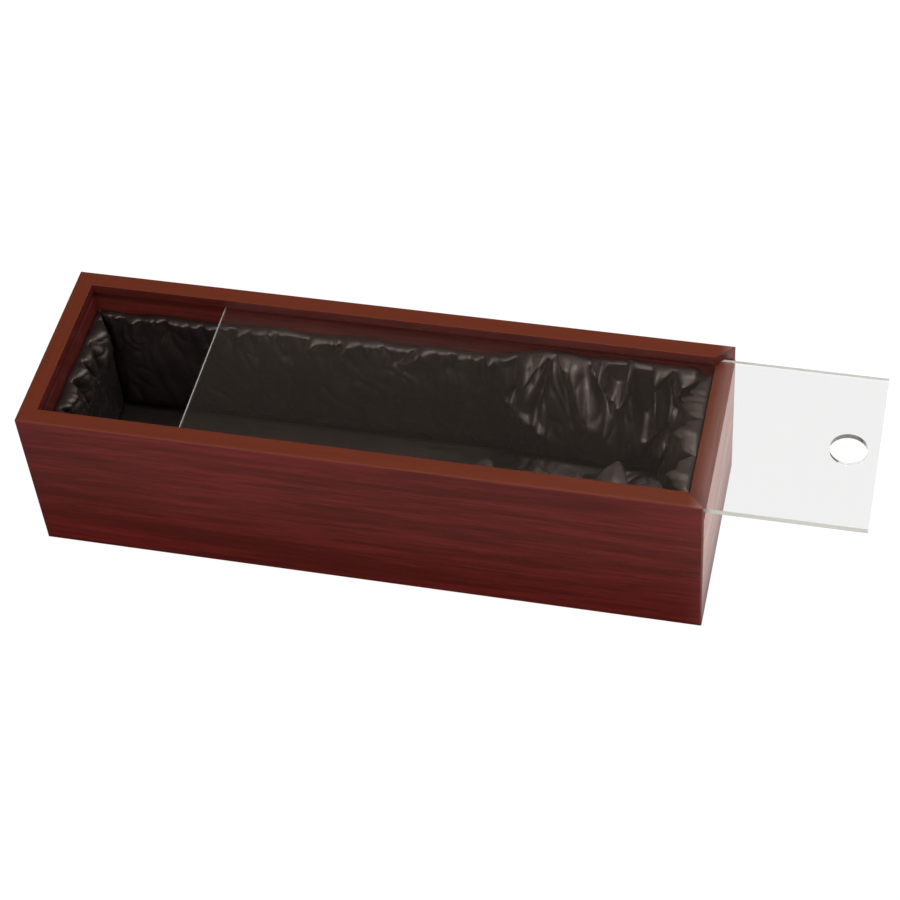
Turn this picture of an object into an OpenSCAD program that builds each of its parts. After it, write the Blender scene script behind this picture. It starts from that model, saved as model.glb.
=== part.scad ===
// Wooden box with a clear lid that slides in grooves, lined with gathered satin.
// The frame's origin is the middle of the underside, +X points out of the open end
// and +Z up. All sizes are in millimetres.

/* [Box] */
// Outside length of the box
box_l = 356; // [330:1:420]
// Outside width of the box
box_w = 110; // [100:1:150]
// Outside height of the box
box_h = 95; // [88:1:140]
// Thickness of the four walls
wall_t = 9.5; // [8:0.5:12]
// Radius on the outer edges of the walls
arris_r = 1.2; // [0.5:0.1:2]
// Radius on the inner edges of the rim
inner_arris_r = 0.5; // [0.2:0.1:1]
// Thickness of the panel that closes the underside
panel_t = 3; // [2:0.5:5]
// How far the panel is let into each wall
rebate_d = 5; // [3:0.5:6]
// Gap round the panel in its rebate
panel_gap = 0.25; // [0.1:0.05:0.5]

/* [Lid] */
// Thickness of the clear lid
lid_t = 3; // [2:0.1:4]
// How far the lid is drawn out of the box
lid_out = 78.8; // [0:0.1:260]
// Depth of the groove that the lid runs in
groove_d = 5; // [3:0.5:6]
// Height of wood left above the groove
lip_h = 5.6; // [3:0.1:9]
// Clearance above the lid, and below it, in the groove
lid_play = 0.25; // [0.1:0.05:0.5]
// Clearance between the lid's sides and the floors of the grooves
side_play = 0.5; // [0.2:0.1:1]
// Clearance left at the end of the groove when the lid is shut
end_play = 0.3; // [0.1:0.1:1]
// Diameter of the finger hole
finger_d = 19; // [14:0.5:25]
// Distance from the lid's outer end to the middle of the finger hole
finger_in = 15; // [12:0.5:25]

/* [Lining] */
// Distance from the rim down to the top edge of the lining
lining_drop = 17; // [16:1:30]
// Thickness of the backing cards
card_t = 1.2; // [1:0.1:2.5]
// Thickness of the wadding on the cards
wadding_t = 1.8; // [1.5:0.1:5]
// Least thickness of the satin where it is drawn over the wadding
satin_t = 0.6; // [0.5:0.1:1.5]
// Gap left between two satin covers where they meet in a corner, on each side
seam_gap = 0.2; // [0.1:0.05:0.5]
// Depth that the satin is drawn in to along the corners
tuck_d = 2.6; // [2:0.1:4]
// Radius that the satin turns over the top edge with
turn_r = 2; // [1:0.1:2.4]

/* [Gathers] */
// Height of the gathers along the body of the hollow
gather_h = 2.9; // [0.5:0.1:3.2]
// Spacing of the gathers
gather_pitch = 26; // [18:1:40]
// Height of the scallops along the top edge
scallop_h = 2.4; // [0:0.1:4]
// Height of the gathers on the floor
floor_gather_h = 1.8; // [0.5:0.1:3]
// Height of the upright folds at the closed end
end_fold_h = 4.6; // [1:0.1:6]
// Height of the rolls of cloth at the narrow end of the hollow
roll_h = 5; // [2:0.5:8]
// Spacing of the rolls
roll_pitch = 27; // [20:1:40]
// Where the loose cloth starts, from the box's middle
loose_start = 48; // [20:1:80]
// Length over which the loose cloth reaches its full depth
loose_run = 34; // [20:1:60]
// Extra depth of the loose cloth on the long sides
loose_side = 14; // [5:1:20]
// Extra depth of the loose cloth on the floor
loose_floor = 15; // [5:1:18]
// Extra depth of the loose cloth at the open end
loose_end = 16; // [5:1:20]
// How much higher than the rest the bunched cloth stands at the narrow end
bunch_rise = 6; // [0:0.5:7]

/* [Hidden] */
$fn = 48;

rosewood = [0.36, 0.13, 0.11];
clear_acrylic = [0.86, 0.90, 0.92, 0.35];
grey_card = [0.56, 0.54, 0.50];
white_wadding = [0.88, 0.87, 0.84];
dark_satin = [0.15, 0.12, 0.11];
cut = 1;                                     // how far a cutting tool runs past a face

// Groove and lid
groove_h = lid_t + 2 * lid_play;
groove_floor = box_h - lip_h - groove_h;
lid_l = box_l - (wall_t - groove_d) - end_play;
lid_w = box_w - 2 * (wall_t - groove_d) - 2 * side_play;
lid_end = box_l / 2 + lid_out;

// Room between the walls, and the lining in it
half_l = box_l / 2 - wall_t;
half_w = box_w / 2 - wall_t;
lining_h = box_h - lining_drop - panel_t;
backing_t = card_t + wadding_t;
cover_d = backing_t + satin_t;
backing_in = seam_gap + backing_t + 2 * satin_t;  // from a corner to the backing's edge
backing_top = lining_h - scallop_h - turn_r;

// How the folds run and fade
lean = 0.28;                                 // mm that folds lean along a panel per mm up it
wander = 50;                                 // degrees that the ridges' spacing wanders by
wander_turn = 137;                           // degrees between one wandering and the next
scallop_pitch = 36;                          // spacing of the scallops on a top edge
scallop_shift = 5;                           // mm that the scallops wander by
low_gathers = 0.4;                           // share of the gathers' height left at the floor
corner_folds = 0.6;                          // share of the end folds' height by the corners
hang_from = 0.45;                            // share of the height where loose cloth thins out
hang_to = 1.08;                              // and where it would come to nothing
floor_rolls = 0.6;                           // share of the rolls' height on the floor
floor_sides = 2;                             // mm that the floor's loose cloth rises to its sides

// Rows and columns of points on each satin cover
long_cols = 60;
short_cols = 20;
side_rows = 10;
floor_rows = 14;
turn_rows = 3;

// ---- Wood ----

// Square corner at the origin, filling the quarter where x and y are positive, less a
// quarter circle: taking it from a profile rounds that corner.
module corner_waste(r) {
    difference() {
        translate([-cut, -cut]) square(r + cut);
        translate([r, r]) circle(r);
    }
}

// Section of a wall that stands h high. The outer face is on x = 0 and the inner on
// x = wall_t.
module wall_section(h) {
    difference() {
        square([wall_t, h]);
        corner_waste(arris_r);
        translate([0, h]) mirror([0, 1]) corner_waste(arris_r);
        translate([wall_t, h]) rotate(180) corner_waste(inner_arris_r);
        translate([wall_t - rebate_d, -cut]) square([rebate_d + cut, panel_t + cut]);
        translate([wall_t - groove_d, groove_floor]) square([groove_d + cut, groove_h]);
    }
}

// Outline of the box from above, with its upright edges rounded.
module box_outline() {
    difference() {
        square([box_l, box_w], center = true);
        for (turn = [0, 180]) rotate(turn) {
            translate([-box_l / 2, -box_w / 2]) corner_waste(arris_r);
            mirror([1, 0]) translate([-box_l / 2, -box_w / 2]) corner_waste(arris_r);
        }
    }
}

// A wall of outside length len, mitred at both ends, with its outer face on y = 0. The
// room is on its +Y side and it runs along X, centred.
module mitred_wall(len, h) {
    intersection() {
        rotate([90, 0, 90]) translate([0, 0, -len / 2]) linear_extrude(len) wall_section(h);
        linear_extrude(h) polygon([
            [-len / 2, 0], [len / 2, 0],
            [len / 2 - wall_t, wall_t], [-len / 2 + wall_t, wall_t]
        ]);
    }
}

// Puts what is drawn against y = 0 at the front, back, open end or closed end.
module at_front() translate([0, -box_w / 2, 0]) children();
module at_back() rotate(180) at_front() children();
module at_open_end() rotate(90) translate([0, -box_l / 2, 0]) children();
module at_closed_end() rotate(180) at_open_end() children();

module rounded_to_box(h) {
    intersection() {
        children();
        linear_extrude(h) box_outline();
    }
}

module front_wall() {
    color(rosewood) rounded_to_box(box_h) at_front() mitred_wall(box_l, box_h);
}

module back_wall() {
    color(rosewood) rounded_to_box(box_h) at_back() mitred_wall(box_l, box_h);
}

module closed_end_wall() {
    color(rosewood) rounded_to_box(box_h) at_closed_end() mitred_wall(box_w, box_h);
}

// The open end stops at the groove's floor, so that the lid passes over it.
module open_end_wall() {
    color(rosewood) rounded_to_box(box_h) at_open_end() mitred_wall(box_w, groove_floor);
}

module bottom_panel() {
    let_in = rebate_d - panel_gap;
    color(rosewood) linear_extrude(panel_t)
        square([2 * (half_l + let_in), 2 * (half_w + let_in)], center = true);
}

// ---- Lid ----

module sliding_lid() {
    color(clear_acrylic) translate([lid_end, 0, groove_floor + lid_play]) linear_extrude(lid_t)
        difference() {
            translate([-lid_l, -lid_w / 2]) square([lid_l, lid_w]);
            translate([-finger_in, 0]) circle(finger_d / 2);
        }
}

// ---- Backing cards and wadding ----

// One layer of the backing of a panel whose back is on y = 0. It runs along X between
// corners half apart from the middle, and up from the bottom panel.
module upright_layer(half, from, thickness) {
    translate([0, wall_t + from, panel_t + backing_in])
        translate([-(half - backing_in), 0, 0])
            cube([2 * (half - backing_in), thickness, backing_top - backing_in]);
}

module floor_layer(from, thickness) {
    translate([0, 0, panel_t + from]) linear_extrude(thickness)
        square([2 * (half_l - backing_in), 2 * (half_w - backing_in)], center = true);
}

module front_card() color(grey_card) at_front() upright_layer(half_l, 0, card_t);
module back_card() color(grey_card) at_back() upright_layer(half_l, 0, card_t);
module closed_end_card() color(grey_card) at_closed_end() upright_layer(half_w, 0, card_t);
module open_end_card() color(grey_card) at_open_end() upright_layer(half_w, 0, card_t);
module floor_card() color(grey_card) floor_layer(0, card_t);

module front_wadding() color(white_wadding) at_front() upright_layer(half_l, card_t, wadding_t);
module back_wadding() color(white_wadding) at_back() upright_layer(half_l, card_t, wadding_t);
module closed_end_wadding() {
    color(white_wadding) at_closed_end() upright_layer(half_w, card_t, wadding_t);
}
module open_end_wadding() {
    color(white_wadding) at_open_end() upright_layer(half_w, card_t, wadding_t);
}
module floor_wadding() color(white_wadding) floor_layer(card_t, wadding_t);

// ---- Satin covers ----
// A cover is described in its own frame: u runs along the panel, w across it from the
// corner with the floor, and d is the depth of cloth in front of the wall.

function smooth(a, b, x) = let (t = max(0, min(1, (x - a) / (b - a)))) t * t * (3 - 2 * t);
function mix(a, b, t) = a + (b - a) * t;

// Even gathers, from 0 in the valleys to 1 on the crests.
function gathers(u, pitch) = 0.5 + 0.5 * cos(360 * u / pitch);

// Ridges like them whose spacing wanders.
function ridges(u, pitch) = gathers(u + wander / 360 * pitch * sin(wander_turn * u / pitch), pitch);

// Share of the loose cloth's depth at x along the box.
function loose(x) = smooth(loose_start, loose_start + loose_run, x);

// The folds that hang in the loose cloth of a long side, each as [place along the box
// at its top, how far it leans along the box by the floor, half its width, its height].
back_folds = [[60, -26, 11, 4], [88, 16, 12, 6.5], [112, 22, 9, 4], [138, 4, 11, 5]];
front_folds = [[66, 8, 12, 4.5], [94, -14, 11, 5], [122, -12, 10, 6.5], [146, 2, 10, 4]];

// Height of the folds at x, w up from the floor: the one that stands highest there.
function hanging(folds, x, w) = max([for (f = folds)
    let (off = (x - f[0] - f[1] * (1 - w / lining_h)) / f[2]) f[3] * exp(-off * off)]);

// Height of the top edge of a cover, scalloped by the gathers. bunched is the share of
// bunch_rise that it stands higher by.
function top_edge(u, bunched) = lining_h - scallop_h + bunch_rise * bunched
    + scallop_h * gathers(u + scallop_shift * sin(3 * u), scallop_pitch);

// Depth of a cover on a long side, x along the box and w up from the floor.
function side_depth(x, w, folds) = let (
    up = w / lining_h,
    small = gather_h * ridges(x + lean * w, gather_pitch) * mix(low_gathers, 1, up),
    hang = 1 - smooth(hang_from, hang_to, up)
) cover_d + mix(small, loose_side * hang + hanging(folds, x, w), loose(x));

// Depth of the cover on the floor, y across the box.
function floor_depth(x, y) = let (
    small = floor_gather_h * ridges(x + lean * y, gather_pitch),
    rise = floor_sides * smooth(0, half_w, abs(y)),
    rolls = floor_rolls * roll_h * ridges(x + lean * y, roll_pitch)
) cover_d + mix(small, loose_floor + rise + rolls, loose(x));

// Depth of the cover at the closed end: upright folds, deepest near its middle.
function closed_end_depth(y, w) = cover_d
    + end_fold_h * gathers(y + lean * w, gather_pitch) * mix(1, corner_folds, abs(y) / half_w);

// Depth of the cover at the open end: rolls of cloth that swirl round one back corner.
function open_end_depth(y, w) = let (
    from_corner = norm([half_w - y, lining_h - w]),
    hang = 1 - smooth(hang_from, hang_to, w / lining_h)
) cover_d + loose_end * hang + roll_h * ridges(from_corner, roll_pitch);

// Two covers meet in a plane that slants at 45 degrees out of their corner, so a point
// no deeper than its distance from the corner, less seam_gap, stays on its own side.
tucked_in = seam_gap + tuck_d;                // where the tucked edge lies on that plane
full_in = backing_in;                         // where the cloth has risen over the backing

// Place of column or row i of n, from -half to half. The first and last are the tucked
// edges, and the ones next to them stand where the cloth has risen.
function spread(i, n, half) =
    i == 0 ? -(half - tucked_in) :
    i == n ? half - tucked_in :
    mix(-1, 1, (i - 1) / (n - 2)) * (half - full_in);

// Angle that row r of an upright cover has turned over the top edge.
function turn_angle(r) = max(0, r - side_rows) * 90 / turn_rows;

// Height of row r of an upright cover whose top edge is at top, before it turns over.
function row_height(r, top) =
    r == 0 ? tucked_in : mix(full_in, top - turn_r, min(1, (r - 1) / (side_rows - 1)));

// Point of an upright cover in row r, where the cloth would lie at depth d. An edge
// point keeps the tucked depth and slides along the corner's plane as it turns over.
function upright_point(u, r, half, top, d, edge) = let (
    w = row_height(r, top),
    room = min(half - seam_gap - abs(u), w - seam_gap),
    flat_d = edge || r == 0 ? tuck_d : min(d, room),
    turned_d = flat_d - turn_r * (1 - cos(turn_angle(r))),
    turned_u = edge ? sign(u) * (half - seam_gap - turned_d) : u
) [turned_u, w + turn_r * sin(turn_angle(r)), turned_d];

// Faces of a closed cover: its front grid, the edges round it, and a pocket in its back
// that holds the card and wadding. Points come in the order front, back's top edge,
// pocket's top edge, then the back's two low corners, the pocket's two low corners and
// the four corners of the pocket's floor. Each cell of the grid is split along its more
// level diagonal, going by deep, the points' depths.
function cover_faces(cols, rows, deep) = let (
    per_row = cols + 1,
    back_top = per_row * (rows + 1),
    pocket_top = back_top + per_row,
    low_l = pocket_top + per_row,
    low_r = low_l + 1,
    in_l = low_l + 2,
    in_r = low_l + 3,
    floor_ll = low_l + 4,
    floor_lr = low_l + 5,
    floor_tl = low_l + 6,
    floor_tr = low_l + 7,
    last = per_row * rows
) concat(
    [for (r = [0 : rows - 1], c = [0 : cols - 1]) let (a = r * per_row + c)
        each abs(deep[a] - deep[a + per_row + 1]) < abs(deep[a + 1] - deep[a + per_row])
            ? [[a, a + 1, a + per_row + 1], [a, a + per_row + 1, a + per_row]]
            : [[a, a + 1, a + per_row], [a + 1, a + per_row + 1, a + per_row]]],
    [for (c = [0 : cols - 1])
        each [
            [last + c, last + c + 1, back_top + c + 1],
            [last + c, back_top + c + 1, back_top + c],
            [back_top + c, back_top + c + 1, pocket_top + c + 1],
            [back_top + c, pocket_top + c + 1, pocket_top + c],
            [floor_tl, pocket_top + c, pocket_top + c + 1],
            [low_l, c + 1, c]
        ]],
    [[low_l, low_r, cols], [floor_tl, pocket_top + cols, floor_tr]],
    [for (r = [0 : rows - 1])
        each [
            [low_l, r * per_row, (r + 1) * per_row],
            [low_r, (r + 1) * per_row + cols, r * per_row + cols]
        ]],
    [
        [low_l, last, back_top], [low_r, back_top + cols, last + cols],
        [low_l, in_r, low_r], [low_l, in_l, in_r],
        [low_l, back_top, pocket_top], [low_l, pocket_top, in_l],
        [low_r, pocket_top + cols, back_top + cols], [low_r, in_r, pocket_top + cols],
        [in_l, floor_ll, floor_lr], [in_l, floor_lr, in_r],
        [in_l, pocket_top, floor_tl], [in_l, floor_tl, floor_ll],
        [in_r, floor_lr, floor_tr], [in_r, floor_tr, pocket_top + cols],
        [floor_ll, floor_tl, floor_tr], [floor_ll, floor_tr, floor_lr]
    ]
);

// Solid of a cover from its front points, listed as rows, and its back's top edge.
module cover(front, back_top, half, low, pocket_low, pocket_high) {
    rows = len(front) - 1;
    cols = len(front[0]) - 1;
    side = half - seam_gap;
    pocket = half - backing_in;
    points = concat(
        [for (row = front) each row],
        back_top,
        [for (c = [0 : cols]) [mix(-pocket, pocket, c / cols), pocket_high, 0]],
        [[-side, low, 0], [side, low, 0], [-pocket, pocket_low, 0], [pocket, pocket_low, 0]],
        [[-pocket, pocket_low, backing_t], [pocket, pocket_low, backing_t]],
        [[-pocket, pocket_high, backing_t], [pocket, pocket_high, backing_t]]
    );
    faces = cover_faces(cols, rows, [for (p = points) p[2]]);
    polyhedron(points, [for (f = faces) [f[2], f[1], f[0]]], convexity = 6);
}

// An upright cover, drawn against the wall at y = 0. tops holds the height of its top
// edge at each column, and depth_at its depths, column by column and row by row. Its u
// runs along -X.
module upright_cover(half, tops, depth_at) {
    cols = len(tops) - 1;
    front = [for (r = [0 : side_rows + turn_rows]) [for (c = [0 : cols])
        upright_point(spread(c, cols, half), r, half, tops[c], depth_at[c][r],
            c == 0 || c == cols)]];
    back_top = [for (c = [0 : cols]) let (u = spread(c, cols, half))
        [c == 0 || c == cols ? sign(u) * (half - seam_gap) : u, tops[c], 0]];
    translate([0, wall_t, panel_t]) rotate([90, 0, 180])
        cover(front, back_top, half, seam_gap, backing_in, backing_top);
}

// Places of the columns, and the heights at which the rows' depths are worked out.
along = [for (c = [0 : long_cols]) spread(c, long_cols, half_l)];
across = [for (c = [0 : short_cols]) spread(c, short_cols, half_w)];
heights = [for (r = [0 : side_rows + turn_rows]) row_height(r, lining_h)];

// A cover on a long side, bunched higher at the narrow end. toward_x is 1 where its u
// runs along +X, and -1 otherwise.
module long_cover(toward_x, folds) {
    upright_cover(half_l,
        [for (u = along) top_edge(u, loose(toward_x * u))],
        [for (u = along) [for (w = heights) side_depth(toward_x * u, w, folds)]]);
}

module front_satin() color(dark_satin) at_front() long_cover(-1, front_folds);
module back_satin() color(dark_satin) at_back() long_cover(1, back_folds);

module closed_end_satin() {
    color(dark_satin) at_closed_end() upright_cover(half_w,
        [for (u = across) top_edge(u, 0)],
        [for (u = across) [for (w = heights) closed_end_depth(u, w)]]);
}

// u is lowest by the back wall here, where the rolls swirl round.
module open_end_satin() {
    color(dark_satin) at_open_end() upright_cover(half_w,
        [for (u = across) top_edge(u, 1)],
        [for (u = across) [for (w = heights) open_end_depth(-u, w)]]);
}

// The floor's cover has no free edge: it meets an upright cover on every side.
module floor_satin() {
    side = half_w - seam_gap;
    pocket = half_w - backing_in;
    front = [for (r = [0 : floor_rows]) let (y = spread(r, floor_rows, half_w))
        [for (c = [0 : long_cols]) let (
            x = spread(c, long_cols, half_l),
            rim = c == 0 || c == long_cols || r == 0 || r == floor_rows,
            room = min(half_l - seam_gap - abs(x), side - abs(y))
        ) [x, y, rim ? tuck_d : min(floor_depth(x, y), room)]]];
    back_top = [for (c = [0 : long_cols])
        [mix(-1, 1, c / long_cols) * (half_l - seam_gap), side, 0]];
    color(dark_satin) translate([0, 0, panel_t])
        cover(front, back_top, half_l, -side, -pocket, pocket);
}

front_wall();
back_wall();
closed_end_wall();
open_end_wall();
bottom_panel();
sliding_lid();
front_card();
back_card();
closed_end_card();
open_end_card();
floor_card();
front_wadding();
back_wadding();
closed_end_wadding();
open_end_wadding();
floor_wadding();
front_satin();
back_satin();
closed_end_satin();
open_end_satin();
floor_satin();
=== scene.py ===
# Long wooden box with a clear sliding lid and a lining of gathered dark satin.
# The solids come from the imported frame. Here they get their finishes, and the lining's
# cloth is cut, gathered and settled in its place.
import math

import bpy
import numpy as np
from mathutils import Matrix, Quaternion, Vector


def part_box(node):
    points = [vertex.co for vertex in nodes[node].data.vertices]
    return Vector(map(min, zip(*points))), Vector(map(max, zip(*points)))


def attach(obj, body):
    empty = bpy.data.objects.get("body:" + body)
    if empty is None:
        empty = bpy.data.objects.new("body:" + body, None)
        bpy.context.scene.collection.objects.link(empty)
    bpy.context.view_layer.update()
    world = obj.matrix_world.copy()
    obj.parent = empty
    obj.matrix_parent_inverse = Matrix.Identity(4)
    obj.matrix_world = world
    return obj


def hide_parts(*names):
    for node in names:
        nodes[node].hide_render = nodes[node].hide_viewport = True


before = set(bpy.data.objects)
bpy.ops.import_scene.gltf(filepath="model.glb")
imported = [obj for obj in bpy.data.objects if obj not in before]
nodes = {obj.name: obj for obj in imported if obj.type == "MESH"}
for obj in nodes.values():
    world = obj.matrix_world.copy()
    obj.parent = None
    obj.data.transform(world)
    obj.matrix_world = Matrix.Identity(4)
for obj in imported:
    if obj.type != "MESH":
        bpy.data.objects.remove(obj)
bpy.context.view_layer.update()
scene = bpy.context.scene
scene.view_settings.view_transform = "Standard"
print("frame loaded:", len(nodes), "solids")


# Wraps an output socket, so that an expression on it adds its Math nodes.
class Link:
    def __init__(self, shader, socket):
        self.shader = shader
        self.socket = socket

    def math(self, operation, other=None, swap=False, clamp=False):
        values = [self] if other is None else [other, self] if swap else [self, other]
        return self.shader.node(
            "Math", {"operation": operation, "use_clamp": clamp}, dict(enumerate(values))
        )

    def __add__(self, other):
        return self.math("ADD", other)

    def __sub__(self, other):
        return self.math("SUBTRACT", other)

    def __mul__(self, other):
        return self.math("MULTIPLY", other)

    def __rsub__(self, other):
        return self.math("SUBTRACT", other, swap=True)

    __radd__ = __add__
    __rmul__ = __mul__

    def clamped(self):
        return self.math("ADD", 0, clamp=True)

    # Goes smoothly from 0 to 1 while the value goes from low to high.
    def between(self, low, high):
        return self.shader.node(
            "MapRange",
            {"interpolation_type": "SMOOTHSTEP"},
            {"Value": self, "From Min": low, "From Max": high},
        )


# Adds nodes to one node tree.
class Shader:
    def __init__(self, tree):
        self.tree = tree
        tree.nodes.clear()

    # Adds one node of a type, with its settings, which are set first, and the values or
    # links of its sockets.
    def node(self, kind, settings=None, sockets=None, output=0):
        made = self.tree.nodes.new("ShaderNode" + kind)
        for name, value in (settings or {}).items():
            setattr(made, name, value)
        for name, value in (sockets or {}).items():
            if isinstance(value, Link):
                self.tree.links.new(value.socket, made.inputs[name])
            else:
                made.inputs[name].default_value = value
        return Link(self, made.outputs[output])

    # The place on the piece, in metres, scaled along each axis.
    def place(self, scale):
        where = self.node("TexCoord", output="Object")
        return self.node("Mapping", {}, {"Vector": where, "Scale": scale})

    # One part of a direction or place: X, Y or Z.
    def part(self, vector, axis):
        return self.node("SeparateXYZ", {}, {0: vector}, output=axis)

    def noise(self, vector, scale=1.0, detail=3.0, roughness=0.5, distortion=0.0):
        return self.node("TexNoise", {}, {
            "Vector": vector, "Scale": scale, "Detail": detail,
            "Roughness": roughness, "Distortion": distortion,
        })

    # Mixes two colours, going by factor.
    def blend(self, factor, first, second, way="MIX"):
        mixed = self.tree.nodes.new("ShaderNodeMix")
        mixed.data_type = "RGBA"
        mixed.blend_type = way
        for index, value in ((0, factor), (6, first), (7, second)):
            if isinstance(value, Link):
                self.tree.links.new(value.socket, mixed.inputs[index])
            else:
                mixed.inputs[index].default_value = (
                    (*value, 1) if isinstance(value, tuple) else value
                )
        return Link(self, mixed.outputs[2])

    def bump(self, height, distance, strength=1.0, normal=None):
        sockets = {"Height": height, "Distance": distance, "Strength": strength}
        if normal is not None:
            sockets["Normal"] = normal
        return self.node("Bump", {}, sockets)

    def surface(self, sockets):
        return self.node("BsdfPrincipled", {}, sockets)

    def finish(self, shader, kind="Material"):
        end = self.tree.nodes.new("ShaderNodeOutput" + kind)
        self.tree.links.new(shader.socket, end.inputs["Surface"])


def newMaterial(name):
    material = bpy.data.materials.new(name)
    material.use_nodes = True
    return material, Shader(material.node_tree)


def paint(piece, material):
    piece.data.materials.clear()
    piece.data.materials.append(material)


# The camera stands where the photograph's did.
cameraSettings = {
    "aim": (0.03587, 0.00176, 0.0475),
    "distance": 1.27101,
    "azimuth": 16.623,
    "elevation": 48.741,
    "roll": -5.470,                       # degrees that the view leans by
    "lens": 96.797,                       # mm, on a sensor 36 mm wide
}


def placeCamera(given):
    turn, rise = math.radians(given["azimuth"]), math.radians(given["elevation"])
    away = Vector((
        math.sin(turn) * math.cos(rise), -math.cos(turn) * math.cos(rise), math.sin(rise)
    ))
    camera = bpy.data.objects.new("camera", bpy.data.cameras.new("camera"))
    scene.collection.objects.link(camera)
    camera.data.lens = given["lens"]
    camera.data.sensor_width = 36
    camera.location = Vector(given["aim"]) + away * given["distance"]
    camera.rotation_mode = "QUATERNION"
    lean = Quaternion((0, 0, 1), math.radians(given["roll"]))
    camera.rotation_quaternion = (-away).to_track_quat("-Z", "Y") @ lean
    scene.camera = camera


placeCamera(cameraSettings)
print("camera placed")

# Three lamps, pale surroundings and a pale floor.
studio = {
    "lamps": [
        # name, place, width, height, watts, colour
        ("overhead", (0.40, 0.12, 1.20), 0.8, 0.6, 7.4, (1.0, 0.985, 0.965)),
        ("key", (-0.10, -1.15, 1.00), 0.9, 0.6, 10.5, (1.0, 0.98, 0.96)),
        ("rightFill", (1.5, -0.2, 0.7), 0.9, 0.9, 2.0, (1.0, 0.99, 0.98)),
    ],
    "lampsAim": (0.04, 0, 0.06),
    "aroundTop": 0.17,                    # brightness overhead, for reflections
    "aroundTint": (1.0, 0.80, 0.66),      # with this warmth
    "aroundRight": 1.0,                   # and at the right
    "aroundLight": 0.27,                  # and for the light that it casts
    "floorSide": 2.5,                     # half its side, in metres
    "floorBelow": 0.0003,                 # how far it lies under the box
    "floorTone": 0.55,                    # how pale the floor is to the light that it returns
    "floorNear": 0.0,                     # brightness of the floor in front, for reflections
    "floorFar": 0.25,                     # and further in front
    "floorBeside": 2.05,                  # and at the right
    "floorWarmth": (1.0, 0.84, 0.78),     # with this warmth there
    "floorBehind": 0.5,
    "floorGlow": 0.94,                    # brightness of the floor as the camera sees it
    "floorThrough": 0.95,                 # and as it shows through the lid
    "shadowDepth": 0.12,                  # how clearly shadows show on it
}


def addLamp(name, place, width, height, watts, colour):
    lamp = bpy.data.lights.new(name, "AREA")
    lamp.shape = "RECTANGLE"
    lamp.size, lamp.size_y, lamp.energy, lamp.color = width, height, watts, colour
    holder = bpy.data.objects.new(name, lamp)
    scene.collection.objects.link(holder)
    holder.location = place
    holder.rotation_mode = "QUATERNION"
    towards = Vector(studio["lampsAim"]) - Vector(place)
    holder.rotation_quaternion = towards.to_track_quat("-Z", "Y")


def paintSurroundings(given):
    world = bpy.data.worlds.new("studio")
    scene.world = world
    world.use_nodes = True
    sky = Shader(world.node_tree)
    way = sky.node("TexCoord", output="Generated")
    right = sky.part(way, "X").between(0.25, 0.85)
    low = 1 - sky.part(way, "Z").between(0.1, 0.4)
    mirrored = given["aroundTop"] + (given["aroundRight"] - given["aroundTop"]) * right
    path = {
        name: sky.node("LightPath", output=name)
        for name in ("Is Camera Ray", "Is Transmission Ray", "Is Glossy Ray")
    }
    through, glossy = path["Is Transmission Ray"], path["Is Glossy Ray"]
    shows = (path["Is Camera Ray"] + through * low).clamped()
    mirrors = (glossy + through).clamped()
    cast = given["aroundLight"] * (1 - mirrors) + mirrored * mirrors
    level = shows + cast * (1 - shows)
    tint = sky.blend(mirrors * (1 - right) * (1 - shows), (1.0, 1.0, 1.0), given["aroundTint"])
    sky.finish(sky.node("Background", {}, {"Color": tint, "Strength": level}), "World")


def layFloor(given):
    bpy.ops.object.select_all(action="DESELECT")
    bpy.ops.mesh.primitive_plane_add(
        size=2 * given["floorSide"], location=(0, 0, -given["floorBelow"])
    )
    floor = bpy.context.object
    floor.name = "floor"
    material, pale = newMaterial("paleFloor")
    where = pale.node("TexCoord", output="Object")
    y = pale.part(where, "Y")
    beside = pale.part(where, "X").between(0.165, 0.195)
    behind = y.between(-0.055, 0.055)
    clear = 1 - (1 - beside) * (1 - behind)
    ahead = given["floorNear"] + given["floorFar"] * (1 - y.between(-0.17, -0.06))
    beyond = given["floorBehind"] + (given["floorBeside"] - given["floorBehind"]) * beside
    mirrored = ahead + (beyond - ahead) * clear
    camera = pale.node("LightPath", output="Is Camera Ray")
    through = pale.node("LightPath", output="Is Transmission Ray")
    glossy = pale.node("LightPath", output="Is Glossy Ray")
    shows = (camera + through).clamped()
    level = camera * given["floorGlow"] + through * given["floorThrough"]
    level = level + (1 - shows) * glossy * mirrored
    tone = camera * given["shadowDepth"] + (1 - shows) * (1 - glossy) * given["floorTone"]
    toneColour = pale.node("CombineColor", {}, {"Red": tone, "Green": tone, "Blue": tone})
    warm = pale.blend((1 - shows) * glossy * beside, (1.0, 1.0, 1.0), given["floorWarmth"])
    glow = pale.node("Emission", {}, {"Color": warm, "Strength": level})
    matt = pale.node("BsdfDiffuse", {}, {"Color": toneColour})
    pale.finish(pale.node("AddShader", {}, {0: glow, 1: matt}))
    paint(floor, material)


for lamp in studio["lamps"]:
    addLamp(*lamp)
paintSurroundings(studio)
layFloor(studio)
print("lamps, surroundings and floor set")

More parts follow.
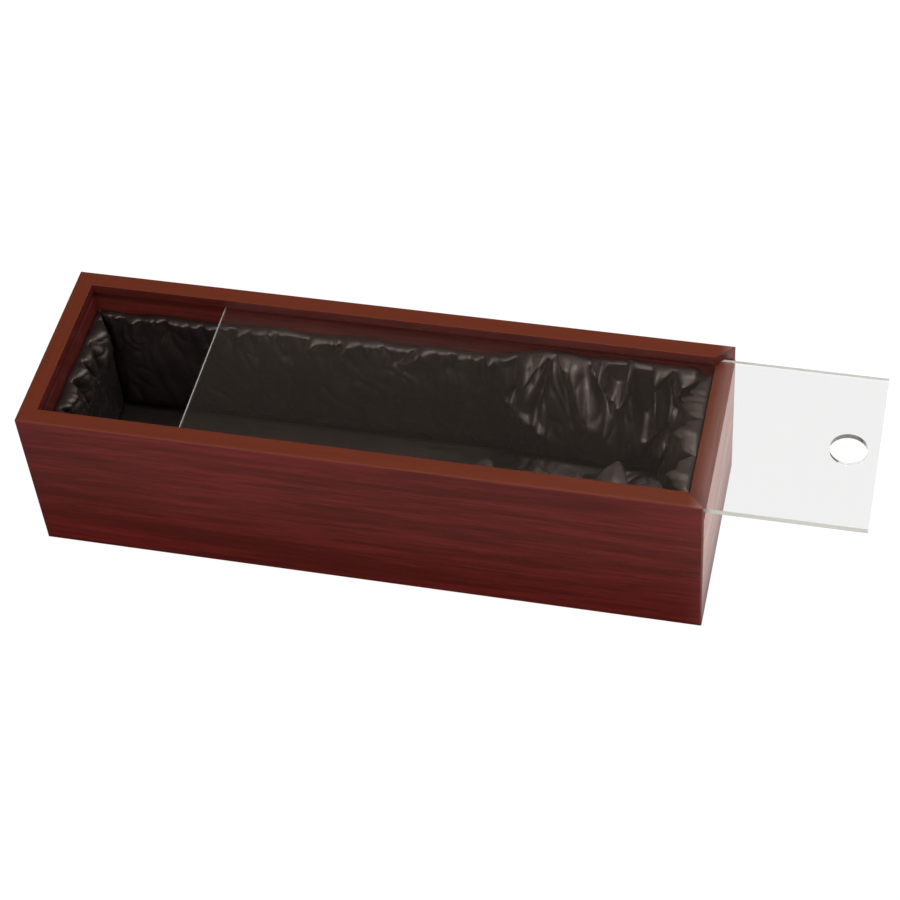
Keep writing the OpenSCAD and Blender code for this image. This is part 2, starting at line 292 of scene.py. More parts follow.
# The boards: rosewood look, with a plainer band on their edges.
rosewood = {
    "light": (0.198, 0.0255, 0.0240),
    "middle": (0.128, 0.0210, 0.0175),
    "dark": (0.064, 0.0125, 0.0090),
    "streaks": (480.0, 24.0),             # repeats a metre, across the grain and along it
    "bands": (105.0, 6.5),
    "pores": (1500.0, 90.0),
    "edge": (0.155, 0.029, 0.012),        # the plainer band on the boards' edges
    "edgeDark": (0.120, 0.022, 0.009),
    "insideFinishAndShade": (0.72, 0.72, 0.62),     # painted shade inside the box, with the inside's duller finish
    "lowShadeTint": (0.84, 0.54, 0.48),        # and this painted shade darkens them towards the foot
    "lowShadeShare": 0.9,
    "wornRoughness": 0.30,                # added on the rubbed edges
    "endPaintedSheen": (0.27, 0.135, 0.115),      # painted reflection: the open end's top, paler to its outside
    "unevenGloss": (0.18, 0.45),          # on the long boards and on the end ones
    "roughness": 0.36,
    "specular": 0.22,
}


# Scales of a pattern, in repeats a metre across the grain and along it.
def grainScale(along, rates):
    across, lengthwise = rates
    return [lengthwise if axis == along else across for axis in range(3)]


# A board's finish, with its grain along X (0) or Y (1).
def boardFinish(name, along, given):
    material, wood = newMaterial(name)
    streaks = wood.noise(
        wood.place(grainScale(along, given["streaks"])), detail=4, roughness=0.62, distortion=0.5
    )
    bands = wood.noise(
        wood.place(grainScale(along, given["bands"])), detail=4, roughness=0.6, distortion=0.9
    )
    pore = wood.noise(wood.place(grainScale(along, given["pores"])), detail=2, roughness=0.5)
    grain = (bands * 0.55 + streaks * 0.45).between(0.36, 0.66)
    colour = wood.blend(grain, given["dark"], given["light"])
    colour = wood.blend(0.45 - grain * 0.2, colour, given["middle"])
    colour = wood.blend(pore.between(0.60, 0.74) * 0.4, colour, given["dark"])
    plain = wood.blend(streaks, given["edgeDark"], given["edge"])
    facing = wood.node("TexCoord", output="Normal")
    where = wood.node("TexCoord", output="Object")
    slope = wood.part(facing, "Z")
    up = slope.between(0.35, 0.75)
    x, y, z = (wood.part(where, axis) for axis in "XYZ")
    rim = (z.between(0.0915, 0.0925) + x.between(0.168, 0.169)).clamped() * up
    # Painted shade: the inside faces are darkened where the walls and lip shade them, together
    # with their duller finish.
    inside = 1 - y.math("ABSOLUTE").between(0.0500, 0.0530)
    inside = inside * (1 - x.math("ABSOLUTE").between(0.1730, 0.1760))
    colour = wood.blend(inside, colour, wood.blend(1.0, colour, given["insideFinishAndShade"], "MULTIPLY"))
    # Painted shade: the boards are darkened towards their foot.
    low = (1 - z.between(0.004, 0.060)) * given["lowShadeShare"]
    colour = wood.blend(low, colour, wood.blend(1.0, colour, given["lowShadeTint"], "MULTIPLY"))
    colour = wood.blend(rim, colour, plain)
    worn = slope.between(0.10, 0.35) * (1 - slope.between(0.88, 0.985))
    # Painted reflection: the open end's top is painted paler and streaked towards its outside.
    sheenShare = x.between(0.1690, 0.1785) * up * (0.35 + streaks * 0.9)
    colour = wood.blend(sheenShare, colour, given["endPaintedSheen"])
    rough = given["roughness"] + (streaks - 0.5) * given["unevenGloss"][along]
    rough = rough + worn * given["wornRoughness"]
    normal = wood.bump(streaks * 0.6 + pore * 0.4, 0.00012, 0.35)
    wood.finish(wood.surface({
        "Base Color": colour, "Roughness": rough, "Normal": normal,
        "Specular IOR Level": given["specular"],
    }))
    return material


longBoard = boardFinish("rosewoodLong", 0, rosewood)
endBoard = boardFinish("rosewoodEnd", 1, rosewood)
for name in ("front_wall", "back_wall", "bottom_panel"):
    paint(nodes[name], longBoard)
for name in ("closed_end_wall", "open_end_wall"):
    paint(nodes[name], endBoard)
print("boards finished")

# The lid: clear sheet with sawn edges.
acrylic = {
    "tint": (0.985, 0.99, 0.988, 1),
    "ior": 1.49,
    "castThrough": (0.95, 0.95, 0.95, 1),  # the share of the lamps' light that it lets by
    "sawn": (0.80, 0.82, 0.76),           # its sawn edges are frosted
    "sawnLitInside": (1.0, 0.97, 0.93),      # and painted paler over the box, a painted highlight
    "sawnShare": 0.9,
    "holeAt": 0.2418,                     # along the box, the finger hole
    "holeEdge": (0.0105, 0.0120),         # from its middle, where its wall's look ends
    "holeShare": 0.25,                    # as its wall is clearer
}


def lidFinish(given):
    material, clear = newMaterial("clearAcrylic")
    glass = clear.surface({
        "Base Color": given["tint"], "Roughness": 0.0, "IOR": given["ior"],
        "Transmission Weight": 1.0,
    })
    through = clear.node("BsdfTransparent", {}, {"Color": given["castThrough"]})
    shadow = clear.node("LightPath", output="Is Shadow Ray")
    diffuse = clear.node("LightPath", output="Is Diffuse Ray")
    lampRays = (shadow + diffuse).clamped()
    pane = clear.node("MixShader", {}, {0: lampRays, 1: glass, 2: through})
    upright = clear.part(clear.node("TexCoord", output="Normal"), "Z").math("ABSOLUTE")
    where = clear.node("TexCoord", output="Object")
    x = clear.part(where, "X")
    # Painted highlight: the sawn edges over the box get a paler colour than those outside it.
    sawn = clear.surface({
        "Base Color": clear.blend(x.between(-0.02, 0.10), given["sawnLitInside"], given["sawn"]),
        "Roughness": 0.45, "Specular IOR Level": 0.5,
    })
    fromHole = x - given["holeAt"]
    across = clear.part(where, "Y")
    away = (fromHole * fromHole + across * across).math("SQRT")
    outside = away.between(*given["holeEdge"])
    share = given["holeShare"] + (given["sawnShare"] - given["holeShare"]) * outside
    edge = (1 - upright.between(0.3, 0.7)) * share
    clear.finish(clear.node("MixShader", {}, {0: edge, 1: pane, 2: sawn}))
    return material


paint(nodes["sliding_lid"], lidFinish(acrylic))
print("lid finished")

# The cards behind the lining.
card = {"pale": (0.40, 0.38, 0.34), "dark": (0.27, 0.25, 0.22), "roughness": 0.85}


def cardFinish(given):
    material, board = newMaterial("greyCard")
    fibres = board.noise(board.place((900, 900, 900)), detail=5, roughness=0.7)
    clouds = board.noise(board.place((60, 60, 60)), detail=2)
    colour = board.blend(fibres * 0.6 + clouds * 0.4, given["dark"], given["pale"])
    board.finish(board.surface({
        "Base Color": colour, "Roughness": given["roughness"] + (fibres - 0.5) * 0.1,
        "Normal": board.bump(fibres, 0.0001, 0.5),
    }))
    return material


greyCard = cardFinish(card)
sides = ("front", "back", "closed_end", "open_end", "floor")
for side in sides:
    paint(nodes[side + "_card"], greyCard)
print("cards finished")

# Finishes of the lining.
satin = {
    "deep": (0.0056, 0.0040, 0.0036),
    "pale": (0.0130, 0.0096, 0.0086),
    "specular": 0.80,
    "glint": (1.0, 0.80, 0.74),           # satin's shine takes some of its colour
    "roughness": 0.49,
    "gloss": 0.18,                        # a second, sharper shine
    "glossRoughness": 0.30,
    "crumple": (150.0, 0.0012, 0.32),     # small creases: a metre, height, strength
    "weave": 1500.0,                      # threads a metre
}


def satinFinish(given):
    material, cloth = newMaterial("darkSatin")
    patches = cloth.noise(cloth.place((45, 45, 45)), detail=2, roughness=0.5)
    rate, height, strength = given["crumple"]
    crumple = cloth.noise(cloth.place([rate] * 3), detail=3, roughness=0.55, distortion=0.8)
    threads = cloth.noise(cloth.place((given["weave"], given["weave"] / 6, given["weave"])))
    colour = cloth.blend(patches.between(0.3, 0.7), given["deep"], given["pale"])
    normal = cloth.bump(crumple, height, strength)
    normal = cloth.bump(threads, 0.00002, 0.15, normal)
    cloth.finish(cloth.surface({
        "Base Color": colour, "Roughness": given["roughness"] + (threads - 0.5) * 0.1,
        "Normal": normal, "Specular IOR Level": given["specular"],
        "Specular Tint": (*given["glint"], 1), "Coat Weight": given["gloss"],
        "Coat Roughness": given["glossRoughness"],
    }))
    return material


wadding = {
    "white": (0.80, 0.79, 0.76),
    "grey": (0.55, 0.54, 0.51),
    "edge": 0.0008,                       # width of its rounded edges
    "cuts": 24,                           # across each of its faces
    "crown": 0.0005,                      # how far its face swells
    "sunk": 0.0007,                       # how far the face's edges are drawn back
    "inset": 0.0028,                      # and in from the corners
}


def waddingFinish(given):
    material, fluff = newMaterial("whiteWadding")
    fibres = fluff.noise(fluff.place((1100, 1100, 1100)), detail=5, roughness=0.75, distortion=2)
    colour = fluff.blend(fibres.between(0.25, 0.75), given["grey"], given["white"])
    fluff.finish(fluff.surface({
        "Base Color": colour, "Roughness": 0.95 - fibres * 0.1,
        "Normal": fluff.bump(fibres, 0.0004, 0.8), "Sheen Weight": 0.3,
    }))
    return material


darkSatin = satinFinish(satin)
whiteWadding = waddingFinish(wadding)


# The lining's cloth. In a cover's own frame u runs along its panel, w up it (across it on
# the floor) and d out of it, into the box.
lining = {
    "floorTop": 0.003,                    # of the bottom panel, above the table
    "halfLength": 0.1685,                 # of the hollow between the boards
    "halfWidth": 0.0455,
    "panelTop": 0.0735,                   # height of the side panels
    "openEndTop": 0.0790,                 # and of the cloth at the open end
    "coverDepth": 0.0038,                 # where the cloth lies flat on the wadding
    "turnRadius": 0.0008,                 # of its turn over the panel's top edge
    "sideInset": 0.0028,                  # of its last full row from a corner
    "edgeInset": 0.0008,                  # and of its edge, down in the corner
    "edgeDepth": 0.0005,
    "turnSteps": (30, 60, 90),            # degrees of the rows in that turn
    "turnPuffs": (0.95, 0.8, 0.5),        # and their shares of the puffing
    "hem": ((0.0, 0.0010, 0.2), (0.0004, 0.0003, 0.0)),  # rows: down, depth, puffing
    "fadeRun": 0.010,                     # the puffing fades over this from the sides
    "overTopFade": 0.007,
    "scallop": 34,                        # mm, about one scallop of the top edge
    "softLimit": 0.0008,                  # how softly the room for the folds ends
    "limitFrom": 0.003,                   # in cloth that is at least this deep
    "topRoom": 0.0040,                    # more room that the folds have high up
    "topRoomRun": (0.045, 0.062),         # between these heights
    "topRise": 0.25,                      # share of the depth that lifts the turned edge
    "least": 0.0003,                      # that the cloth stands off its card at its edges
    "leastRun": (0.003, 0.006),           # it goes to coverDepth over this from a corner
    "leastTop": (-0.004, -0.001),         # and back over this at the top edge
    "thickness": 0.0003,
    "seamGap": 0.0003,
    "looseStart": 0.048,                  # the cloth is loose from here along the box
    "looseRun": 0.034,
    "grow": 10.0,                         # the cloth is settled ten times life size
    "cell": 0.0017,                       # of the cloth that is settled
    "spare": 1.10,                        # how much larger the cloth is cut than it starts
    "frames": 34,
    "gravity": -2.0,
    "cap": 0.0022,                        # how far the cloth may move as it settles
    "cloth": {
        "quality": 6, "mass": 0.12, "pin_stiffness": 1, "air_damping": 2.0,
        "tension_stiffness": 14, "compression_stiffness": 14, "shear_stiffness": 4,
        "tension_damping": 4, "compression_damping": 4, "shear_damping": 4,
        "bending_stiffness": 0.06, "bending_damping": 0.6,
        "target_volume": 0, "uniform_pressure_force": 0.3,
    },
}


def smoothStep(low, high, value):
    t = np.clip((value - low) / (high - low), 0, 1)
    return t * t * (3 - 2 * t)


# Soft random waves over a panel, from about -1 to 1. length is in the units of u and w.
def waves(u, w, seed, length, count=9, spread=0.9):
    draw = np.random.default_rng(seed)
    total = np.zeros(np.broadcast(u, w).shape)
    for _ in range(count):
        pace = 2 * np.pi / (length * draw.uniform(0.7, 1.5))
        lean = draw.uniform(-spread, spread)
        total += np.sin(pace * (u * np.cos(lean) + w * np.sin(lean)) + draw.uniform(0, 6.28))
    return total / math.sqrt(count / 2) / 1.6


# Rounded puffs of about one width with sharp creases between them, from 0 to 1.
def puffs(u, w, seed, width, spread=0.9):
    bent = u + 0.3 * width * waves(u, w, seed + 50, 2.4 * width, spread=1.5)
    return np.minimum(1, np.abs(waves(bent, w, seed, 2 * width, spread=spread)) ** 0.7)


# A fold or crease along a path of places, as wide as left on one side of the path and as
# right on the other. It fades at its low end, unless its height there is given.
def fold(x, z, path, left, right, height, lowHeight=None):
    best = np.full(np.broadcast(x, z).shape, 9.0)
    along, gone = best * 0, 0.0
    for (fromX, fromZ), (toX, toZ) in zip(path, path[1:]):
        run, rise = toX - fromX, toZ - fromZ
        length = math.hypot(run, rise)
        share = np.clip(((x - fromX) * run + (z - fromZ) * rise) / length ** 2, 0, 1)
        offX, offZ = x - fromX - share * run, z - fromZ - share * rise
        aside = offX * rise - offZ * run
        near = np.hypot(offX, offZ) / np.where(aside < 0, left, right)
        along = np.where(near < best, gone + share * length, along)
        best = np.minimum(best, near)
        gone += length
    if lowHeight is None:
        tall = height * (1 - smoothStep(0.5, 1.0, along / gone) * (path[-1][1] < 70))
    else:
        tall = height + (lowHeight - height) * along / gone
    return tall * np.exp(-best ** 1.6)


# Share of a place in a hollow of the cloth: a rounded box of half sizes about a middle.
def pocket(x, z, middleX, middleZ, halfX, halfZ, turn, edge):
    c, s = math.cos(math.radians(turn)), math.sin(math.radians(turn))
    a, b = (x - middleX) * c + (z - middleZ) * s, (z - middleZ) * c - (x - middleX) * s
    out = (np.abs(a / halfX) ** 2.6 + np.abs(b / halfZ) ** 2.6) ** (1 / 2.6)
    return 1 - smoothStep(1 - edge / halfX, 1 + edge / halfX, out)


# Places in these lists are mm along the wall and above the table. Each fold has its
# path, its width left and right of it, and its height out of the cloth, less than 0 for
# a crease. Each pocket has its middle, half sizes, lean, soft edge and depth left in it.
backFolds = [
    ([(90, 86), (100, 66), (107, 52), (114, 34)], 8.0, 7.5, 0.0, 21.0),
    ([(86, 76), (93, 60), (99, 44)], 1.8, 1.8, -4.0),
    ([(98, 85), (111, 66), (120, 48)], 1.6, 2.0, -6.0),
    ([(89, 85), (72, 68), (55, 53)], 1.2, 3.8, 4.6),
    ([(86, 81), (72, 63), (57, 49)], 2.0, 1.6, -3.6),
    ([(83, 72), (76, 50), (74, 30)], 2.2, 1.8, -5.0),
    ([(66, 83), (64, 56), (56, 34)], 1.6, 2.4, -4.6),
    ([(72, 82), (70, 60), (66, 40)], 4.0, 5.0, 3.4),
    ([(48, 86), (46, 62), (42, 46)], 1.2, 1.7, -4.2),
    ([(51, 84), (51, 62), (50, 44)], 1.6, 4.4, 3.2),
    ([(60, 50), (80, 40), (92, 26)], 2.6, 1.8, 3.4),
    ([(109, 86), (111, 75), (116, 65), (122, 61), (125, 67), (126, 78), (129, 84)], 1.2, 1.3, 7.5),
    ([(142, 84), (138, 68), (142, 54), (151, 45)], 3.0, 5.0, 6.0),
    ([(160, 83), (150, 79), (145, 70), (148, 60), (158, 56)], 1.4, 1.8, -7.0),
    ([(162, 75), (154, 74), (151, 67), (159, 62)], 2.0, 1.8, 5.0),
    ([(156, 50), (146, 38), (140, 22)], 3.0, 4.6, 5.0),
    ([(146, 50), (138, 40), (134, 24)], 1.8, 1.6, -5.0),
    ([(-79, 82), (-86, 78), (-90, 70), (-87, 63)], 2.8, 0.9, 3.4),
    ([(-82, 80), (-91, 75), (-93, 68), (-91, 60)], 1.1, 1.1, -2.8),
    ([(-38, 80), (-45, 77), (-49, 69), (-47, 62)], 2.8, 0.9, 3.4),
    ([(-41, 80), (-50, 75), (-52, 68), (-51, 60)], 1.1, 1.1, -2.8),
    ([(-24, 81), (-30, 70), (-36, 60)], 2.8, 0.9, 3.2),
    ([(-27, 81), (-34, 70), (-39, 60)], 1.2, 1.0, -2.4),
    ([(20, 83), (10, 73), (-3, 62)], 3.4, 1.0, 3.4),
    ([(16, 82), (6, 72), (-6, 62)], 1.2, 1.2, -2.8),
    ([(-128, 81), (-129, 70), (-133, 58)], 1.0, 1.5, -3.6),
    ([(-152, 81), (-156, 66), (-157, 48)], 1.5, 1.8, -3.4),
    ([(-146, 80), (-147, 66), (-150, 50)], 2.4, 3.4, 2.4),
    ([(-109, 81), (-106, 66), (-104, 52)], 1.1, 1.4, -2.6),
    ([(33, 81), (30, 66), (34, 50)], 1.1, 1.5, -3.0),
    ([(-66, 81), (-66, 68), (-62, 56)], 1.1, 1.4, -2.4),
]
backPockets = [
    (118.5, 77.5, 5.6, 14.0, 4, 0.7, 0.3),
    (133.0, 70.0, 5.4, 24.0, 4, 1.0, 1.5),
]
frontFolds = [
    ([(68, 86), (64, 72)], 8.0, 6.0, 7.0),
    ([(134, 86), (129, 64)], 6.0, 5.0, 8.0),
    ([(60, 83), (63, 58), (72, 34)], 5.0, 6.0, 6.0),
    ([(52, 80), (54, 60), (58, 40)], 1.8, 2.0, -4.4),
    ([(70, 80), (74, 60), (84, 38)], 2.0, 2.0, -5.0),
    ([(92, 80), (88, 58), (82, 34)], 5.0, 4.6, 6.0),
    ([(101, 80), (98, 60), (94, 36)], 2.0, 1.8, -5.0),
    ([(112, 80), (108, 58), (102, 38)], 4.0, 4.0, 5.0),
    ([(128, 84), (127, 62), (119, 34)], 5.5, 6.5, 8.5),
    ([(140, 82), (139, 60), (133, 36)], 1.8, 2.0, -5.0),
    ([(152, 80), (150, 58), (146, 34)], 4.0, 5.0, 5.0),
    ([(-120, 81), (-126, 70), (-124, 60)], 2.8, 0.9, 3.2),
    ([(-70, 81), (-76, 70), (-80, 58)], 2.8, 0.9, 3.2),
    ([(-38, 81), (-34, 68), (-31, 56)], 1.3, 1.1, -3.0),
    ([(2, 81), (-5, 72), (-6, 60)], 2.8, 0.9, 3.2),
    ([(30, 81), (26, 68), (20, 56)], 1.3, 1.1, -3.0),
    ([(-148, 80), (-153, 62), (-155, 46)], 1.6, 1.8, -3.4),
]
frontPockets = [(77.0, 82.0, 4.0, 12.0, 8, 2.0, 3.0), (119.0, 84.0, 3.4, 10.0, -6, 2.0, 3.0)]
closedEndFolds = [
    ([(24, 88), (18, 70), (12, 40)], 1.8, 2.6, -6.5),
    ([(-12, 88), (-7, 68), (-10, 40)], 2.4, 1.8, -6.5),
    ([(8, 86), (5, 72), (9, 56)], 1.2, 1.8, -4.4),
    ([(39, 80), (33, 66), (35, 44)], 1.4, 1.8, -5.0),
    ([(30, 86), (27, 70), (23, 48)], 4.6, 4.0, 4.0),
    ([(-31, 84), (-26, 68), (-28, 50)], 1.3, 1.6, -4.6),
    ([(-38, 76), (-24, 62), (-17, 44)], 3.4, 1.2, 3.2),
    ([(2, 86), (-1, 70), (0, 48)], 3.4, 4.0, 2.6),
    ([(-20, 86), (-17, 70), (-20, 50)], 3.0, 3.6, 3.0),
]
openEndFolds = [
    ([(34, 88), (24, 80), (18, 66), (22, 48)], 3.6, 4.0, 5.0),
    ([(28, 84), (30, 70), (40, 60)], 1.6, 1.6, -5.5),
    ([(14, 88), (10, 70), (14, 46)], 1.8, 1.8, -6.0),
    ([(2, 86), (-4, 66), (-2, 40)], 4.0, 5.0, 5.0),
    ([(-12, 86), (-14, 62), (-10, 40)], 1.8, 2.0, -6.0),
    ([(-26, 86), (-26, 62), (-22, 36)], 4.6, 4.6, 5.0),
    ([(-38, 84), (-37, 60), (-36, 40)], 1.8, 1.8, -5.0),
    ([(30, 44), (12, 34), (-14, 30)], 2.2, 1.8, -4.6),
]


def shaped(depth, x, z, folds, pockets=()):
    for path, *sizes in folds:
        depth = depth + fold(x, z, path, *sizes)
    for *given, kept in pockets:
        depth = depth + (kept - depth) * pocket(x, z, *given)
    return np.maximum(0, depth)


def looseShare(x):
    start, run = 1000 * lining["looseStart"], 1000 * lining["looseRun"]
    return smoothStep(start, start + run, x)


# Depth of the cloth in mm on top of its cover's, at mm along the wall and above the table.
def longDepth(x, z, folds, pockets, seed):
    roll = 1.2 + 0.6 * np.exp(-((z - 60) / 15) ** 2)
    body = roll * (0.2 + 1.3 * puffs(x, 0.6 * z, seed, 20))
    body = body + 1.4 * puffs(x, 0.9 * z, seed + 1, 9, 1.2)
    hang = 1 - smoothStep(0.40, 1.02, (z - 3) / 75)
    loose = 11.5 * hang + 1.6 + 3.0 * puffs(x, 0.5 * z, seed + 2, 14)
    loose = loose + 1.3 * puffs(x, 0.8 * z, seed + 4, 6)
    pleats = smoothStep(64, 78, z) * (1.4 * puffs(x, 0.25 * z, seed + 6, 6.5) - 0.8)
    return shaped(body + (loose - body) * looseShare(x) + pleats, x, z, folds, pockets)


def closedEndDepth(y, z):
    swell = 1 + 0.5 * smoothStep(36, 60, z) - 0.9 * smoothStep(62, 76, z)
    depth = 3.2 * swell + 1.6 * puffs(y, 0.6 * z, 5, 11) + 1.4 * puffs(y, z, 6, 5)
    return shaped(depth, y, z, closedEndFolds)


def openEndDepth(y, z):
    hang = 1 - smoothStep(0.45, 1.08, (z - 3) / 75)
    depth = 12.5 * hang + 3 + 2.6 * puffs(y, 0.6 * z, 12, 12) + 1.2 * puffs(y, z, 13, 6)
    return shaped(depth, y, z, openEndFolds)


def floorDepth(x, y):
    body = 0.5 + 2.6 * puffs(x, 1.2 * y, 21, 24, 1.5) + 0.6 * puffs(x, y, 24, 9, 1.5)
    rise = 2 * smoothStep(0, 45, np.abs(y))
    loose = 11 + rise + 4.0 * puffs(x, 1.2 * y, 22, 16, 1.5) + 1.2 * puffs(x, y, 23, 7, 1.5)
    return np.maximum(0, body + (loose - body) * looseShare(x))


# Each panel has its frame, half its length, its height, the size of its cloth's cells,
# the cloth's depth at mm along it and above the table, the mm that its top edge rises by
# where it is loose, the seed of its scallops, and its most depth where tight and loose.
floorTop, panelTop = lining["floorTop"], lining["panelTop"]
halfLength, halfWidth = lining["halfLength"], lining["halfWidth"]
panels = {
    "front": {
        "origin": (0, -halfWidth, floorTop), "u": (-1, 0, 0), "w": (0, 0, 1), "d": (0, 1, 0),
        "half": halfLength, "top": panelTop, "cell": 0.0011,
        "gives": lambda u, z: longDepth(-u, z, frontFolds, frontPockets, 8),
        "lift": 6.0, "seed": 8, "room": (0.0072, 0.0262),
    },
    "back": {
        "origin": (0, halfWidth, floorTop), "u": (1, 0, 0), "w": (0, 0, 1), "d": (0, -1, 0),
        "half": halfLength, "top": panelTop, "cell": 0.0008,
        "gives": lambda u, z: longDepth(u, z, backFolds, backPockets, 3),
        "lift": 7.0, "seed": 3, "room": (0.0072, 0.0262),
    },
    "closed_end": {
        "origin": (-halfLength, 0, floorTop), "u": (0, 1, 0), "w": (0, 0, 1), "d": (1, 0, 0),
        "half": halfWidth, "top": panelTop, "cell": 0.0007,
        "gives": closedEndDepth, "lift": 0.0, "seed": 5, "room": (0.0082, 0.0082),
    },
    "open_end": {
        "origin": (halfLength, 0, floorTop), "u": (0, -1, 0), "w": (0, 0, 1), "d": (-1, 0, 0),
        "half": halfWidth, "top": lining["openEndTop"], "cell": 0.0008,
        "gives": lambda u, z: openEndDepth(-u, z), "lift": 0.0, "seed": 12,
        "room": (0.0262, 0.0262),
    },
    "floor": {
        "origin": (0, 0, floorTop), "u": (1, 0, 0), "w": (0, 1, 0), "d": (0, 0, 1),
        "half": halfLength, "top": None, "cell": 0.0011,
        "gives": floorDepth, "room": (0.0064, 0.0236),
    },
}


# Rows of a cover from its low edge to its high one: place up the panel, depth, share of
# the puffing, and how far the cloth has turned over the top edge, in radians.
def coverRows(panel, cell):
    deep, radius, fade = lining["coverDepth"], lining["turnRadius"], lining["fadeRun"]
    start, top = lining["sideInset"], panel["top"]
    if top is None:
        side, edge = halfWidth - start, halfWidth - lining["edgeInset"]
        count = int(round(2 * side / cell))
        w = np.concatenate(([-edge], np.linspace(-side, side, count + 1), [edge]))
        d = np.where(np.abs(w) > (side + edge) / 2, lining["edgeDepth"], deep)
        return w, d, smoothStep(0, fade, np.maximum(0, side - np.abs(w))), w * 0
    count = int(round((top - radius - start) / cell))
    w = np.linspace(start, top - radius, count + 1)
    d = np.full(len(w), deep)
    puff = smoothStep(0, fade, w - start)
    angles = np.radians(lining["turnSteps"])
    w = np.append(w, top - radius + radius * np.sin(angles))
    d = np.append(d, deep - radius + radius * np.cos(angles))
    puff = np.append(puff, lining["turnPuffs"])
    turned = np.append(np.zeros(count + 1), angles)
    down, hemDepth, hemPuff = np.transpose(lining["hem"])
    w = np.concatenate(([lining["edgeInset"]], w, top - down))
    d = np.concatenate(([lining["edgeDepth"]], d, hemDepth))
    puff = np.concatenate(([0], puff, hemPuff))
    return w, d, puff, np.concatenate(([0], turned, 0 * down + np.pi / 2))


def intoBox(panel, u, w, d):
    at = np.array(panel["origin"])
    parts = [np.multiply.outer(part, np.array(panel[axis]))
             for part, axis in ((u, "u"), (w, "w"), (d, "d"))]
    return at + sum(parts)


# Start of a cover's cloth on cells of about one size, as rows by columns of points, with
# the places of the rows and columns on the flat cloth.
def coverStart(panel, cell):
    side, edge = panel["half"] - lining["sideInset"], panel["half"] - lining["edgeInset"]
    count = int(round(2 * side / cell))
    u = np.concatenate(([-edge], np.linspace(-side, side, count + 1), [edge]))
    w, d, puff, turned = coverRows(panel, cell)
    rows = np.concatenate(([0], np.cumsum(np.hypot(np.diff(w), np.diff(d)))))
    uu, ww = np.meshgrid(u, w)
    fromSide = side - np.abs(uu)
    ends = smoothStep(0, lining["fadeRun"], fromSide)
    high = 1000 * ww + (1000 * floorTop if panel["top"] else 0)
    depth = 0.001 * panel["gives"](1000 * uu, high) * puff[:, None] * ends
    loose = looseShare(1000 * uu * panel["u"][0])
    narrow, wide = panel["room"]
    room = narrow + (wide - narrow) * loose
    if panel["top"] is not None:
        over = smoothStep(0.5, 1.0, ww / panel["top"])
        over = over * smoothStep(0, lining["overTopFade"], fromSide)
        scallops = 0.8 + 0.9 * waves(1000 * uu, 0 * ww, panel["seed"] + 3, lining["scallop"])
        ww = ww + 0.001 * (panel["lift"] * loose + scallops) * over
        room = room + lining["topRoom"] * smoothStep(*lining["topRoomRun"], ww)
    dd = d[:, None] + depth * np.cos(turned)[:, None]
    soft = lining["softLimit"]
    limited = -soft * np.log(np.exp(-dd / soft) + np.exp(-room / soft))
    dd = np.where(dd > lining["limitFrom"], limited, dd)
    ww = ww + lining["topRise"] * depth * np.sin(turned)[:, None]
    return keepOwnSide(panel, intoBox(panel, uu, ww, dd)), rows, u


def gridFaces(rows, columns):
    first = (np.arange(rows - 1)[:, None] * columns + np.arange(columns - 1)).ravel()
    return np.stack([first, first + 1, first + columns + 1, first + columns], 1)


def meshFrom(name, points, faces):
    mesh = bpy.data.meshes.new(name)
    mesh.from_pydata(points.reshape(-1, 3).tolist(), [], faces.tolist())
    mesh.update()
    piece = bpy.data.objects.new(name, mesh)
    scene.collection.objects.link(piece)
    return piece


# Lets the cloth settle from its start, with more cloth cut than the start takes up, and
# returns how far each point moves: by no more than the cap, so that the folds stay and
# only wrinkles come.
def settle(name, start, given):
    grow, frames = given["grow"], given["frames"]
    held = np.zeros(start.shape[:2], bool)
    held[:2], held[-2:], held[:, :2], held[:, -2:] = True, True, True, True
    piece = meshFrom(name, start * grow, gridFaces(*held.shape))
    piece.shape_key_add(name="Basis")
    key = piece.shape_key_add(name="cut")
    key.data.foreach_set("co", (start * given["spare"] * grow).reshape(-1).astype(np.float32))
    group = piece.vertex_groups.new(name="held")
    group.add(np.flatnonzero(held.ravel()).tolist(), 1.0, "REPLACE")
    modifier = piece.modifiers.new("cloth", "CLOTH")
    cloth, touch = modifier.settings, modifier.collision_settings
    for setting, value in given["cloth"].items():
        setattr(cloth, setting, value)
    cloth.vertex_group_mass = "held"
    cloth.rest_shape_key = key
    cloth.use_pressure = cloth.use_pressure_volume = True
    touch.use_collision = False
    modifier.point_cache.frame_start = 1
    modifier.point_cache.frame_end = frames
    scene.gravity = (0, 0, given["gravity"])
    for number in range(1, frames + 1):
        scene.frame_set(number)
    settled = piece.evaluated_get(bpy.context.evaluated_depsgraph_get())
    points = np.empty(len(settled.data.vertices) * 3, np.float32)
    settled.data.vertices.foreach_get("co", points)
    bpy.data.objects.remove(piece)
    scene.frame_set(1)
    moved = points.reshape(start.shape).astype(float) / grow - start
    far = np.maximum(np.linalg.norm(moved, axis=2, keepdims=True), 1e-9)
    mean, most = (round(float(size) * 1000, 2) for size in (far.mean(), far.max()))
    print(name, "cloth settled, moved", mean, "mm in the mean and", most, "mm at most")
    return moved / far * given["cap"] * np.tanh(far / given["cap"])


# Values on one grid's rows and columns, carried over to another's.
def carryOver(values, rows, columns, newRows, newColumns):
    across = np.stack([
        [np.interp(newColumns, columns, row) for row in values[:, :, axis]] for axis in range(3)
    ], 2)
    return np.stack([
        np.stack([np.interp(newRows, rows, column) for column in across[:, :, axis].T], 1)
        for axis in range(3)
    ], 2)


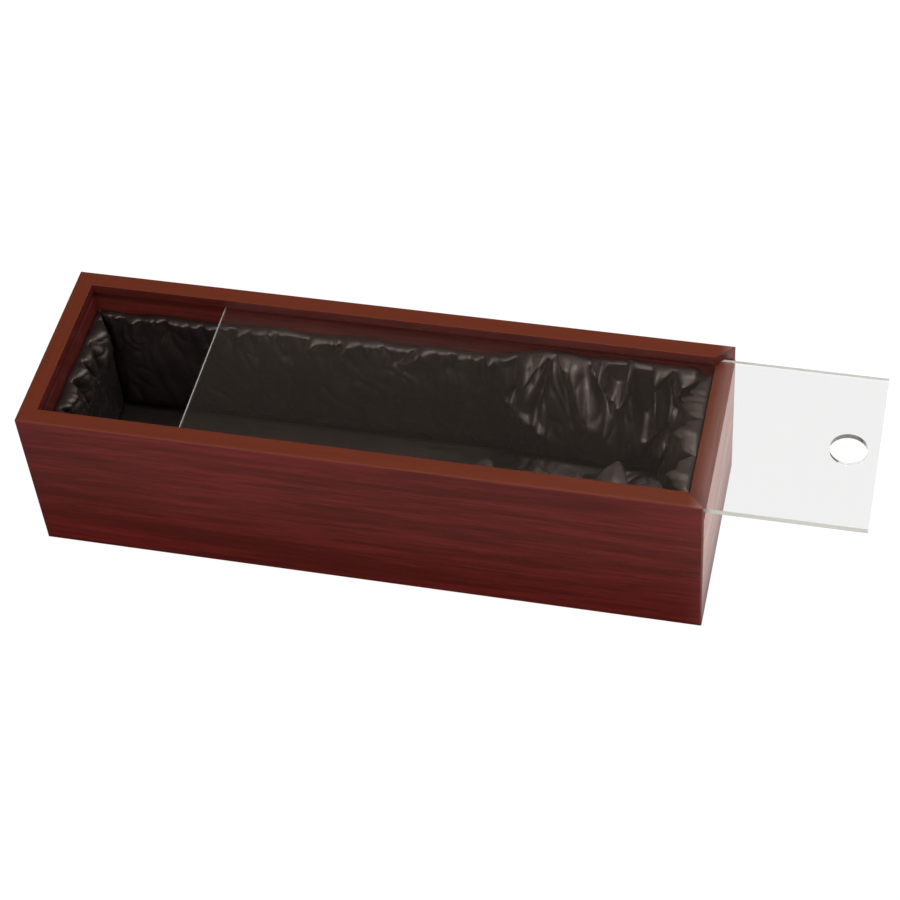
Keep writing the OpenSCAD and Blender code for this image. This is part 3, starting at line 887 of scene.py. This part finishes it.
# Keeps each point on its own side of the planes that slant out of the panel's corners.
def keepOwnSide(panel, points):
    gap = lining["seamGap"]
    offset = points - np.array(panel["origin"])
    u, w, d = (offset @ np.array(panel[axis]) for axis in ("u", "w", "d"))
    room = panel["half"] - gap - np.abs(u)
    low = w - gap if panel["top"] is not None else halfWidth - gap - np.abs(w)
    most = np.minimum(room, low)
    belowTop = 1 - smoothStep(*lining["leastTop"], w - (panel["top"] or 1))
    inner = smoothStep(*lining["leastRun"], most) * belowTop
    least = lining["least"] + (lining["coverDepth"] - lining["least"]) * inner
    return intoBox(panel, u, w, np.minimum(np.maximum(d, least), most))


# A pad on each card: a slab with rounded edges whose face is crowned.
def makeWadding(side, given):
    low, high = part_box(side + "_wadding")
    size, middle = high - low, (high + low) / 2
    bpy.ops.object.select_all(action="DESELECT")
    bpy.ops.mesh.primitive_cube_add(size=1, location=middle, scale=size)
    pad = bpy.context.object
    pad.name = side + "_padding"
    bpy.ops.object.transform_apply(location=True, rotation=True, scale=True)
    bpy.ops.object.mode_set(mode="EDIT")
    bpy.ops.mesh.select_all(action="SELECT")
    bpy.ops.mesh.subdivide(number_cuts=given["cuts"])
    bpy.ops.object.mode_set(mode="OBJECT")
    out = Vector(panels[side]["d"])
    across = [axis for axis in range(3) if abs(out[axis]) < 0.5]
    heights = [vertex.co.dot(out) for vertex in pad.data.vertices]
    foot, thick = min(heights), max(heights) - min(heights)
    for vertex, height in zip(pad.data.vertices, heights):
        rise = (height - foot) / thick
        edge = max(abs(vertex.co[axis] - middle[axis]) / size[axis] * 2 for axis in across)
        x, y, z = vertex.co
        lumps = 0.7 + 0.3 * math.sin(140 * x + 90 * z) * math.cos(120 * y)
        swell = given["crown"] * (1 - edge ** 6) * lumps - given["sunk"] * edge ** 12
        vertex.co += out * swell * rise
        for axis in across:
            inwards = (middle[axis] - vertex.co[axis]) * 2 / size[axis]
            vertex.co[axis] += inwards * given["inset"] * rise
    bevel = pad.modifiers.new("roundEdges", "BEVEL")
    bevel.width, bevel.segments = given["edge"], 3
    bpy.ops.object.modifier_apply(modifier="roundEdges")
    bpy.ops.object.shade_smooth()
    paint(pad, whiteWadding)
    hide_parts(side + "_wadding")
    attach(pad, "box")


def makeCover(side):
    panel = panels[side]
    points, rows, columns = coverStart(panel, panel["cell"])
    start, startRows, startColumns = coverStart(panel, lining["cell"])
    moved = settle(side, start, lining)
    points = points + carryOver(moved, startRows, startColumns, rows, columns)
    points = keepOwnSide(panel, points)
    cover = meshFrom(side + "_cover", points, gridFaces(*points.shape[:2]))
    bpy.ops.object.select_all(action="DESELECT")
    cover.select_set(True)
    bpy.context.view_layer.objects.active = cover
    thick = cover.modifiers.new("thick", "SOLIDIFY")
    thick.thickness, thick.offset = lining["thickness"], -1
    bpy.ops.object.modifier_apply(modifier="thick")
    bpy.ops.object.shade_smooth()
    paint(cover, darkSatin)
    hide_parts(side + "_satin")
    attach(cover, "box")


for side in sides:
    makeWadding(side, wadding)
    makeCover(side)
print("wadding and covers made")
